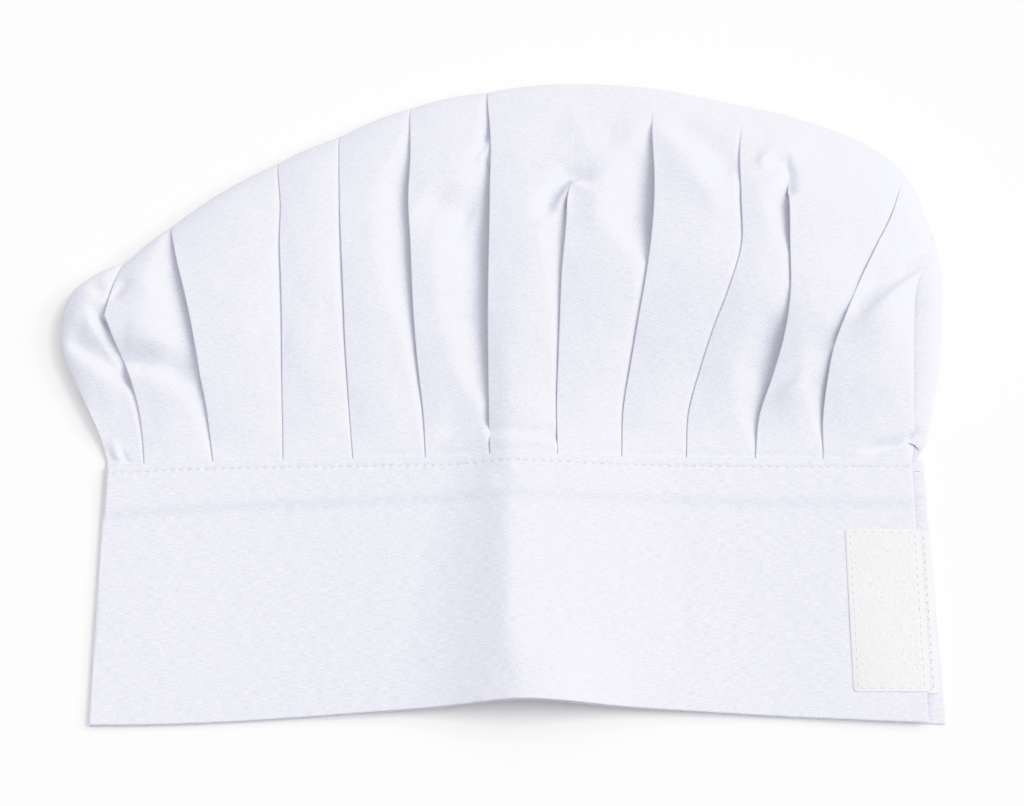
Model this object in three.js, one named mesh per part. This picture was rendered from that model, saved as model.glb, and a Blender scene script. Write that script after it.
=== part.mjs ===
// Chef hat of thin white cotton, laid flat: the gathered crown is folded down over itself and the
// headband's upper end lies on its lower end, where a hook-and-loop closure joins them.
// Millimetres. +X runs to the closure, +Y from the band's mouth to the crown's top, +Z up.
// The outlines are laid out from the middle of the mouth, and the whole hat is centred at the end.

import * as THREE from "three";

// Cloth
const CLOTH = 1.2;
const LAYER_GAP = 0.8;
const SEAM_GAP = 0.3;

// Headband, laid flat
const BAND_HEIGHT = 103.5;
const FOLD_X = -149.5;
const UPPER_END_X = 149.6;
const LOWER_END_X = { mouth: 155.8, seam: 154.0 };
const FLAT_TOP = 2 * CLOTH + LAYER_GAP;
const FOLD_RADIUS = FLAT_TOP / 2;
const CORNER_DROP = { depth: 3.2, reach: 30 };

// The crease ridge across the band, and the low arch that lifts the upper layer beside it
const RIDGE = { crest: 6, left: 24, right: 27, mouth: 12, seam: 4.5 };
const ARCH = { reach: 106, mouth: 3.0, seam: 2.2 };
const LOWER_RIDGE = { reach: 62, mouth: 5 };
const MOUTH_BOW = { depth: 4.5, left: 120, right: 150 };
const LOWER_SETBACK = 0.34;
const BAND_CELLS = { count: 28, crowding: 1.5 };
const BAND_LEVELS = [0, 0.25, 0.5, 0.75, 0.88, 1];
const FOLD_TURNS = [120, 150, 180, 210, 240];

// Hook-and-loop closure
const PATCH = { width: 27.6, length: 63, thick: 1.2, corner: 1.5, low: 12 };
const CORNER_SEGMENTS = 4;
const PATCH_GAP = 0.3;
const LOOP_RIGHT_X = 150.9;
const HOOK_RIGHT_X = 154.4;
const HOOK_LIFT = { height: 1.3, from: 112, to: 122, fade: 0.78 };

// Crown
const EDGE = { level: 4.5, from: 0.2 };
const PUFF_START = 0.3;
const TOP_ROUND = { upper: 0.24, lower: 0.06 };
const SIDE_ROUND = { upper: 0.62, lower: 0.3 };
const PLEAT_STEP = { upper: 1.7, lower: 1.3, least: 0.06, seam: 0.4, fade: 0.14 };
const PLEAT_START = 0.15;
const SCALLOP = 1.2;
const DENT_START = 0.06;
const CURL = { radius: 7, tail: 4, clear: 1, from: 0.12, closes: 0.9, narrow: 0.18, steps: 6 };
const ROWS = [0, 0.025, 0.07, 0.13, 0.2, 0.3, 0.4, 0.5, 0.6, 0.7, 0.79, 0.87, 0.93, 0.978, 0.992, 1];
const RIM_CELLS = 2;
const INNER_TOP = ROWS.at(-1 - RIM_CELLS);

// One row for each line that runs up the crown: the folded left side, eleven pleats and the hem at
// the slit. Each gives its x at the seam, its places a quarter, half and three quarters of the way
// up and at the top, the puff of the cloth beside it and how far up its pleat shows.
const LINES = [
  { seam: -149.5, at: [[-156.8, 122], [-166, 142], [-168.8, 163.4], [-156.8, 179]], puff: 8, reach: 1 },
  { seam: -134.2, at: [[-136.4, 119], [-143.4, 139.5], [-151.5, 159], [-145.3, 184.6]], puff: 9, reach: 1 },
  { seam: -109, at: [[-111.7, 121.4], [-116.8, 145], [-122.4, 169.5], [-129.5, 200.8]], puff: 11, reach: 1 },
  { seam: -83.1, at: [[-83.3, 127], [-84.6, 157.2], [-86.4, 188.3], [-89.4, 227.3]], puff: 12, reach: 1 },
  { seam: -57.2, at: [[-59.3, 129.2], [-61.5, 162.3], [-63.7, 196.5], [-65.7, 239.7]], puff: 13, reach: 1 },
  { seam: -30.4, at: [[-33, 132], [-35.8, 168], [-37.9, 205], [-38.3, 251.9]], puff: 14, reach: 1 },
  { seam: -6.4, at: [[-7.2, 134.3], [-7.3, 171.4], [-6.8, 210], [-8.4, 259.2]], puff: 15, reach: 1 },
  { seam: 18.7, at: [[18.7, 134.2], [20.3, 172.2], [23, 211.4], [26.2, 262.8]], puff: 17, reach: 0.72 },
  { seam: 42.5, at: [[45.4, 132.7], [51.9, 170.2], [55.9, 209.5], [55.7, 261.5]], puff: 19, reach: 0.92 },
  { seam: 66.5, at: [[71, 130.6], [83, 165], [88.7, 202.4], [90.8, 252.8]], puff: 20, reach: 0.92 },
  { seam: 92, at: [[97.7, 128.3], [105.7, 162.5], [106.8, 199], [112.6, 247.3]], puff: 20, reach: 0.85 },
  { seam: 117.3, at: [[117.8, 126], [126.3, 155], [139.2, 183.5], [153.4, 222.2]], puff: 17, reach: 0.98 },
  { seam: 149.6, at: [[149.8, 121], [151, 144.3], [153.3, 168.3], [162.7, 197.6]], puff: 9.5, reach: 1 },
];

// The lower sheet's own side, which bulges out below the slit's hem
const BULGE = { seam: 154, at: [[158.3, 125], [162.6, 148.6], [164.5, 173], [162.7, 197.6]] };

// Soft dents pressed into the crown's upper side: place, depth, half length, half width and turn.
const DENTS = [
  { x: -160, y: 150, depth: 2.2, long: 10, wide: 5, turn: 20 },
  { x: -130, y: 143, depth: 1.8, long: 14, wide: 5, turn: -35 },
  { x: -20, y: 207, depth: 2.6, long: 9, wide: 6, turn: 10 },
  { x: -18, y: 122, depth: 2.2, long: 13, wide: 5, turn: 22 },
  { x: 10, y: 119, depth: 2.0, long: 12, wide: 4, turn: 0 },
  { x: 24, y: 214, depth: 3.2, long: 8, wide: 7, turn: 60 },
  { x: 74, y: 206, depth: 2.8, long: 24, wide: 6, turn: -40 },
  { x: 101, y: 222, depth: 2.4, long: 9, wide: 6, turn: 0 },
  { x: 135, y: 161, depth: 3.0, long: 17, wide: 6, turn: 42 },
];

// Cross columns of a panel between two lines, as shares of its width, with the height of the
// pleat's saw profile there. The upper pleats fold at the line and the lower ones at mid panel.
const SIDE_COLUMNS = [0, 0.05, 0.16, 0.36, 0.62, 1];
const UPPER_COLUMNS = [
  { share: 0, saw: 0.85 },
  { share: 0.1, saw: 1 },
  { share: 0.5, saw: 0.5 },
  { share: 1, saw: 0 },
];
const LOWER_COLUMNS = [
  { share: 0, saw: 0.5 },
  { share: 0.1, saw: 0.4 },
  { share: 0.5, saw: 0 },
  { share: 0.5, saw: 1 },
  { share: 1, saw: 0.5 },
];

const WHITE_COTTON = 0xf0f1f8;
const LOOP_WHITE = 0xf5f5f7;
const HOOK_WHITE = 0xeceef2;
const COTTON_ROUGHNESS = 0.9;
const PATCH_ROUGHNESS = 1;

const mix = THREE.MathUtils.lerp;
const ease = THREE.MathUtils.smoothstep;

// A quarter ellipse that rises from 0 at the rim to 1 at a share of the way in
function roundIn(distance, share) {
  const s = Math.min(1, Math.max(0, distance / share));
  return Math.sqrt(1 - (1 - s) ** 2);
}

function hump(x, centre, left, right) {
  return Math.exp(-(((x - centre) / (x < centre ? left : right)) ** 2));
}

// A hump that is exactly flat outside its reach
function shortHump(x, centre, reach) {
  const s = Math.min(1, Math.abs(x - centre) / reach);
  return Math.cos((s * Math.PI) / 2) ** 2;
}

// A closed surface put together from strips of points, with shared points merged
class Skin {
  constructor() {
    this.points = [];
    this.triangles = [];
    this.known = new Map();
  }

  index(point) {
    const key = point.toArray().map((value) => Math.round(value * 1000)).join(" ");
    if (!this.known.has(key)) {
      this.known.set(key, this.points.length);
      this.points.push(point);
    }
    return this.known.get(key);
  }

  triangle(a, b, c) {
    const corners = [a, b, c].map((point) => this.index(point));
    if (new Set(corners).size === 3) this.triangles.push(...corners);
  }

  // Rows run up the sheet and columns to the right; the face looks up unless it is turned over
  grid(rows, over = false) {
    for (let j = 0; j + 1 < rows.length; j++) {
      for (let i = 0; i + 1 < rows[j].length; i++) {
        const quad = [rows[j][i], rows[j][i + 1], rows[j + 1][i + 1], rows[j + 1][i]];
        if (over) quad.reverse();
        this.triangle(quad[0], quad[1], quad[2]);
        this.triangle(quad[0], quad[2], quad[3]);
      }
    }
  }

  // Closes the rim between two edges of the sheet that start and end side by side
  rim(top, bottom) {
    let i = 0;
    let j = 0;
    while (i + 1 < top.length || j + 1 < bottom.length) {
      const stepTop = i + 1 < top.length ? top[i + 1].distanceTo(bottom[j]) : Infinity;
      const stepBottom = j + 1 < bottom.length ? bottom[j + 1].distanceTo(top[i]) : Infinity;
      if (stepTop < stepBottom) {
        this.triangle(bottom[j], top[i + 1], top[i]);
        i += 1;
      } else {
        this.triangle(bottom[j], bottom[j + 1], top[i]);
        j += 1;
      }
    }
  }

  geometry() {
    const geometry = new THREE.BufferGeometry();
    geometry.setFromPoints(this.points);
    geometry.setIndex(this.triangles);
    geometry.computeVertexNormals();
    return geometry;
  }
}

function piece(name, geometry, color, roughness) {
  const material = new THREE.MeshStandardMaterial({ color, roughness, metalness: 0 });
  const mesh = new THREE.Mesh(geometry, material);
  mesh.name = name;
  return mesh;
}

// Headband

// The seam to the crown dips a little at the folded left corner
function seamY(x) {
  return BAND_HEIGHT - CORNER_DROP.depth * Math.exp(-(x - FOLD_X) / CORNER_DROP.reach);
}

// Height of the upper layer's outer face, with t from 0 at the mouth to 1 at the seam
function bandTop(x, t) {
  const arch = shortHump(x, RIDGE.crest, ARCH.reach);
  const ridge = arch > 0 ? hump(x, RIDGE.crest, RIDGE.left, RIDGE.right) : 0;
  const raised = mix(RIDGE.mouth, RIDGE.seam, t) * ridge + mix(ARCH.mouth, ARCH.seam, t) * arch;
  const overHook = ease(x, HOOK_LIFT.from, HOOK_LIFT.to) * (1 - ease(t, HOOK_LIFT.fade, 1));
  return FLAT_TOP + raised + HOOK_LIFT.height * overHook;
}

// Height of the lower layer's outer face
function bandBottom(x, t) {
  return LOWER_RIDGE.mouth * (1 - t) * shortHump(x, RIDGE.crest, LOWER_RIDGE.reach);
}

// The mouth's edge bows in towards the crown, and the lower layer's edge lies further back where
// the two layers part
function mouthY(x, isLower) {
  const reach = x < RIDGE.crest ? MOUTH_BOW.left : MOUTH_BOW.right;
  const bow = MOUTH_BOW.depth * shortHump(x, RIDGE.crest, reach);
  const parting = bandTop(x, 0) - bandBottom(x, 0) - FLAT_TOP;
  return isLower ? bow + LOWER_SETBACK * Math.max(0, parting) : bow;
}

function bandPoint(x, z, t, isLower) {
  return new THREE.Vector3(x, mix(mouthY(x, isLower), seamY(x), t), z);
}

// Places across the band, close together at the crease
function bandStations(from, to) {
  return Array.from({ length: BAND_CELLS.count + 1 }, (_, i) => {
    const s = (2 * i) / BAND_CELLS.count - 1;
    const side = s < 0 ? RIDGE.crest - from : to - RIDGE.crest;
    return RIDGE.crest + Math.sign(s) * side * Math.abs(s) ** BAND_CELLS.crowding;
  });
}

// One row of the folded strip: right to left on top, round the fold, left to right below
function bandRow(t, inset) {
  const upper = bandStations(FOLD_X + FOLD_RADIUS, UPPER_END_X).reverse();
  const lowerEnd = mix(LOWER_END_X.mouth, LOWER_END_X.seam, t);
  const lower = bandStations(FOLD_X + FOLD_RADIUS, lowerEnd);
  const radius = FOLD_RADIUS - inset;
  const fold = FOLD_TURNS.map((turn) => {
    const angle = THREE.MathUtils.degToRad(turn);
    const x = FOLD_X + FOLD_RADIUS + radius * Math.cos(angle);
    return bandPoint(x, FOLD_RADIUS + radius * Math.sin(angle), t, false);
  });
  return [
    ...upper.map((x) => bandPoint(x, bandTop(x, t) - inset, t, false)),
    ...fold,
    ...lower.map((x) => bandPoint(x, bandBottom(x, t) + inset, t, true)),
  ];
}

function makeBand() {
  const skin = new Skin();
  const outer = BAND_LEVELS.map((t) => bandRow(t, 0));
  const inner = BAND_LEVELS.map((t) => bandRow(t, CLOTH));
  skin.grid(outer, true);
  skin.grid(inner);
  skin.rim(inner[0], outer[0]);
  skin.rim(outer.at(-1), inner.at(-1));
  skin.rim(outer.map((row) => row[0]), inner.map((row) => row[0]));
  skin.rim(inner.map((row) => row.at(-1)), outer.map((row) => row.at(-1)));
  return piece("band", skin.geometry(), WHITE_COTTON, COTTON_ROUGHNESS);
}

// Closure patches

function makePatch(name, rightX, z, color) {
  const { width, length, thick, corner } = PATCH;
  const outline = new THREE.Shape();
  const halfWidth = width / 2 - corner;
  const halfLength = length / 2 - corner;
  outline.absarc(halfWidth, halfLength, corner, 0, Math.PI / 2);
  outline.absarc(-halfWidth, halfLength, corner, Math.PI / 2, Math.PI);
  outline.absarc(-halfWidth, -halfLength, corner, Math.PI, 1.5 * Math.PI);
  outline.absarc(halfWidth, -halfLength, corner, 1.5 * Math.PI, 2 * Math.PI);
  const options = { depth: thick, bevelEnabled: false, curveSegments: CORNER_SEGMENTS };
  const geometry = new THREE.ExtrudeGeometry(outline, options);
  const patch = piece(name, geometry, color, PATCH_ROUGHNESS);
  patch.position.set(rightX - width / 2, PATCH.low + length / 2, z);
  return patch;
}

// Crown

const curveOf = (line) => {
  const seam = [line.seam, seamY(line.seam) + SEAM_GAP];
  return new THREE.SplineCurve([seam, ...line.at].map(([x, y]) => new THREE.Vector2(x, y)));
};
const CURVES = LINES.map(curveOf);
const BULGE_CURVE = curveOf(BULGE);
const PANELS = LINES.length - 1;

// Level of the folded outline: the band's fold at the seam, a fuller edge further up
function edgeLevel(v) {
  return mix(FOLD_RADIUS, EDGE.level, ease(v, 0, EDGE.from));
}

function dentAt(x, y) {
  return DENTS.reduce((sum, dent) => {
    const turn = THREE.MathUtils.degToRad(dent.turn);
    const along = (x - dent.x) * Math.cos(turn) + (y - dent.y) * Math.sin(turn);
    const across = (y - dent.y) * Math.cos(turn) - (x - dent.x) * Math.sin(turn);
    return sum + dent.depth * Math.exp(-((along / dent.long) ** 2) - (across / dent.wide) ** 2);
  }, 0);
}

// How far the curl at the slit stands in from the lower side, down to nothing at its top end
function curlWidth(v) {
  return CURL.radius * ease(INNER_TOP - v, 0, CURL.narrow);
}

function lowerSide(v) {
  const edge = BULGE_CURVE.getPoint(v);
  return new THREE.Vector2(edge.x - curlWidth(v), edge.y);
}

function planPoint(panel, share, v, isLower) {
  const left = CURVES[panel].getPoint(v);
  const isLastLower = isLower && panel + 1 === PANELS;
  const right = isLastLower ? lowerSide(v) : CURVES[panel + 1].getPoint(v);
  return left.lerp(right, share);
}

// The puffed upper sheet above one plan point, before it rounds down to the outline
function puffTop(panel, share, v, plan) {
  const puff = mix(LINES[panel].puff, LINES[panel + 1].puff, share);
  const rise = Math.sin((Math.PI / 2) * Math.min(1, v / PUFF_START));
  const scallop = panel > 0 ? SCALLOP * Math.sin(Math.PI * share) * ease(v, 0, PLEAT_START) : 0;
  const dent = dentAt(plan.x, plan.y) * ease(v, 0, DENT_START);
  return mix(bandTop(plan.x, 1), FLAT_TOP + puff, rise) + scallop - dent;
}

function pleatStep(panel, v) {
  const reach = LINES[panel].reach;
  const shown = mix(PLEAT_STEP.seam, 1, ease(v, 0, PLEAT_START));
  const faded = ease(v, reach - PLEAT_STEP.fade, reach);
  return Math.max(PLEAT_STEP.least, PLEAT_STEP.upper * shown * (1 - faded));
}

// A skin point of the upper sheet; topV is where that skin's own outline lies
function upperPoint({ panel, share, saw }, v, isInner) {
  const topV = isInner ? INNER_TOP : 1;
  const plan = planPoint(panel, share, v, false);
  const sideStart = isInner ? SIDE_COLUMNS[RIM_CELLS] : 0;
  const side = panel === 0 ? roundIn(share - sideStart, SIDE_ROUND.upper - sideStart) : 1;
  const depth = isInner ? -CLOTH : saw * pleatStep(panel, v);
  const level = edgeLevel(v);
  const top = puffTop(panel, share, v, plan) + depth;
  const z = level + (top - level) * side * roundIn(topV - v, TOP_ROUND.upper);
  return new THREE.Vector3(plan.x, plan.y, z);
}

function lowerPoint({ panel, share, saw }, v, isInner) {
  const topV = isInner ? INNER_TOP : 1;
  if (isInner && v === topV) return upperPoint({ panel, share, saw: 0 }, v, true);
  const plan = planPoint(panel, share, v, true);
  const sideStart = isInner ? SIDE_COLUMNS[RIM_CELLS] : 0;
  const side = panel === 0 ? roundIn(share - sideStart, SIDE_ROUND.lower - sideStart) : 1;
  const slope = panel + 1 === PANELS ? 1 - share : 1;
  const step = PLEAT_STEP.lower * slope * ease(v, 0, PLEAT_START);
  const bottom = isInner ? CLOTH + step : saw * step;
  const level = edgeLevel(v);
  const z = level + (bottom - level) * side * roundIn(topV - v, TOP_ROUND.lower);
  return new THREE.Vector3(plan.x, plan.y, z);
}

// Beside the slit the lower sheet curls up and over, under the hem of the upper one. It lies flat
// at the seam, and narrows to nothing where the slit ends at the top.
function curlPoints(v, isInner) {
  const start = lowerPoint({ panel: PANELS - 1, share: 1, saw: 0 }, v, isInner);
  if (isInner && v === INNER_TOP) return Array(CURL.steps + 1).fill(start);
  const edge = BULGE_CURVE.getPoint(v);
  const hem = upperPoint({ panel: PANELS - 1, share: 1, saw: 0 }, v, true);
  const curled = ease(v, 0, CURL.from);
  const width = curlWidth(v);
  const thick = isInner ? CLOTH : 0;
  const floor = start.z - thick;
  const closing = edgeLevel(v) + CLOTH * roundIn(1 - v, 1 - INNER_TOP);
  const lid = mix(hem.z - CURL.clear, closing, ease(v, CURL.closes, INNER_TOP));
  const half = Math.max(curled < 1 ? CLOTH : 0, (lid - floor) / 2);
  const at = (angle) => {
    const x = edge.x - width + (width - thick) * Math.cos(angle);
    return new THREE.Vector3(x, edge.y, floor + half + (half - thick) * Math.sin(angle));
  };
  const turned = Array.from({ length: CURL.steps }, (_, k) => {
    return at(Math.PI * (curled * ((k + 1) / CURL.steps) - 0.5));
  });
  const last = Math.PI * (curled - 0.5);
  const along = new THREE.Vector3(-Math.sin(last), 0, Math.cos(last));
  const flat = width * (1 - curled) ** 2 + (width / CURL.radius) * CURL.tail * curled ** 2;
  turned.push(turned.at(-1).clone().addScaledVector(along, flat));
  return turned;
}

// The side panel has no pleat of its own and only runs up to the first one
function panelColumns(columns) {
  const ramp = columns.at(-1).saw;
  const list = SIDE_COLUMNS.map((share) => ({ panel: 0, share, saw: ramp * share }));
  for (let panel = 1; panel < PANELS; panel++) {
    list.push(...columns.map((column) => ({ panel, ...column })));
  }
  return list;
}

function makeCrown() {
  const upper = panelColumns(UPPER_COLUMNS);
  const lower = panelColumns(LOWER_COLUMNS);
  lower.at(-1).saw = 0;
  const inside = (columns) => columns.slice(RIM_CELLS);
  const innerRows = ROWS.slice(0, -RIM_CELLS);
  const outerUpper = ROWS.map((v) => upper.map((column) => upperPoint(column, v, false)));
  const innerUpper = innerRows.map((v) => inside(upper).map((column) => upperPoint(column, v, true)));
  const lowerRow = (columns, v, isInner) => [
    ...columns.map((column) => lowerPoint(column, v, isInner)),
    ...curlPoints(v, isInner),
  ];
  const outerLower = ROWS.map((v) => lowerRow(lower, v, false));
  const innerLower = innerRows.map((v) => lowerRow(inside(lower), v, true));
  const rightOf = (rows) => rows.map((row) => row.at(-1));
  const skin = new Skin();
  skin.grid(outerUpper);
  skin.grid(innerUpper, true);
  skin.grid(outerLower, true);
  skin.grid(innerLower);
  skin.rim(outerUpper[0], innerUpper[0]);
  skin.rim(innerLower[0], outerLower[0]);
  skin.rim(rightOf(outerUpper), rightOf(innerUpper));
  skin.rim(rightOf(innerLower), rightOf(outerLower));
  return piece("crown", skin.geometry(), WHITE_COTTON, COTTON_ROUGHNESS);
}

const patchFloor = FLAT_TOP + HOOK_LIFT.height + PATCH_GAP;
const hat = new THREE.Group();
hat.add(makeCrown());
hat.add(makeBand());
hat.add(makePatch("loop_patch", LOOP_RIGHT_X, patchFloor, LOOP_WHITE));
hat.add(makePatch("hook_patch", HOOK_RIGHT_X, CLOTH + PATCH_GAP, HOOK_WHITE));

// The origin is the middle of the underside
const box = new THREE.Box3().setFromObject(hat);
const centre = box.getCenter(new THREE.Vector3());
hat.position.set(-centre.x, -centre.y, -box.min.z);

export default hat;
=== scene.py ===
"""Looks of a chef hat of thin white cotton that lies flat with its closure open.

Lengths are in millimetres until a mesh is made. Plan places count from the middle of the band's
mouth, with x towards the closure and y towards the crown's top, and are moved into the frame last.
"""
import math
import random
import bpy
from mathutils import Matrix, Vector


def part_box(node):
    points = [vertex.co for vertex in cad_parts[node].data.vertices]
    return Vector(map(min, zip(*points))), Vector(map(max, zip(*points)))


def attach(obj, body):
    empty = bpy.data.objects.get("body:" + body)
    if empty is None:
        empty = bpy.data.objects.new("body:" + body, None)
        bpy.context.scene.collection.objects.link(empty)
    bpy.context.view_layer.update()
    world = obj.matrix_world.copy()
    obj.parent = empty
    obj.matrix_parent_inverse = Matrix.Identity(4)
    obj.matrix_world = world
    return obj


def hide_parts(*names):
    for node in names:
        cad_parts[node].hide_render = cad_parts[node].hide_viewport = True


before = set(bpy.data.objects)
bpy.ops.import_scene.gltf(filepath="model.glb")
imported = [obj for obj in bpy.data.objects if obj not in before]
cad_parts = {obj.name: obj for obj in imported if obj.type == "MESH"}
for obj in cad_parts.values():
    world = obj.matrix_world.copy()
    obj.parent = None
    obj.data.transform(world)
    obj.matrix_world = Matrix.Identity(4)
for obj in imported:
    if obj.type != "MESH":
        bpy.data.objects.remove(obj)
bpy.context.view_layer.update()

from types import SimpleNamespace as Sizes

import bpy
import numpy as np
from mathutils import Vector

MM = 0.001
random.seed(7)

# Headband: one strip of cloth folded flat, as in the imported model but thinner. FLAT_TOP is how high
# its upper layer lies, and mouth and seam give a value at either edge of the band.
CLOTH = 0.8
FLAT_TOP = 2.3
FOLD_X = -149.5
FOLD_RADIUS = FLAT_TOP / 2
BAND_HEIGHT = 103.5
UPPER_END_X = 149.6
LOWER_END_X = Sizes(mouth=155.8, seam=154.0, flat=153.4, slants_from=100)
CORNER_DROP = Sizes(depth=3.2, reach=30)
RIDGE = Sizes(crest=6, left=24, right=27, mouth=8, seam=4.5)
ARCH = Sizes(reach=106, mouth=3.0, seam=2.2)
LOWER_RIDGE = Sizes(reach=62, mouth=5)
CREASE = Sizes(crest=0.5, round=3, left=38, left_seam=20, left_bow=1.75, right=60,
               right_bow=1.5, narrows=1.5, shifted=0.25, starts=0.02, full=0.3)
MOUTH_BOW = Sizes(depth=6.2, left=150, right=185)
LOWER_SETBACK = 0.34
HOOK_LIFT = Sizes(height=0.6, starts=84, full=128, fade=0.78)

# Closure patches: each sinks into the cloth under it, and its edges are rounded
PATCH = Sizes(width=27.6, length=63, low=12, corner=1.5, least_corner=0.2, thick=0.35,
              sunk=0.1, edge=0.1, edge_rise=0.3)
LOOP = Sizes(right_x=150.9, foot=FLAT_TOP + HOOK_LIFT.height)
HOOK = Sizes(right_x=154.4, foot=CLOTH)

# Crown: shares go from 0 at the seam to 1 at the top, or from 0 to 1 across a panel
EDGE = Sizes(level=4.5, full=0.2)
BOW_FROM = 0.4
TOP_SCALLOP = Sizes(height=0.5, panels=7)
RISE = Sizes(early=0.12, early_to=0.3, starts=0.04, full=0.6)
TOP_ROUND = Sizes(upper=0.24, lower=0.06)
SIDE_ROUND = Sizes(upper=0.62, lower=0.3)

# The lower layer's side curls up under the slit's hem, and its tail goes inwards there
CURL = Sizes(radius=7, tail=8, clear=0.75, least=0.6, full=0.12, closes=0.98,
             narrow=0.18, foot=0.15, steps=14, tail_shares=(0.3, 0.65, 1))

band_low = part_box("band")[0]
ORIGIN = np.array([band_low[0] / MM - FOLD_X, band_low[1] / MM, band_low[2] / MM])

# Camera: the photograph's own view, 65 degrees above the floor
VIEW = Sizes(elevation=65, distance=1066.8, x=1.4, y=127.2, lens=100, sensor=36, near=0.05, far=20)


def add_object(name, data):
    obj = bpy.data.objects.new(name, data)
    bpy.context.collection.objects.link(obj)
    return obj


def make_camera():
    data = bpy.data.cameras.new("camera")
    data.lens = VIEW.lens
    data.sensor_width = VIEW.sensor
    data.clip_start = VIEW.near
    data.clip_end = VIEW.far
    camera = add_object("camera", data)
    angle = math.radians(VIEW.elevation)
    target = (np.array([VIEW.x, VIEW.y, 0]) + ORIGIN) * MM
    back = np.array([0, -math.cos(angle), math.sin(angle)]) * VIEW.distance * MM
    camera.location = Vector(target + back)
    camera.rotation_euler = (math.pi / 2 - angle, 0, 0)
    bpy.context.scene.camera = camera


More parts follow.
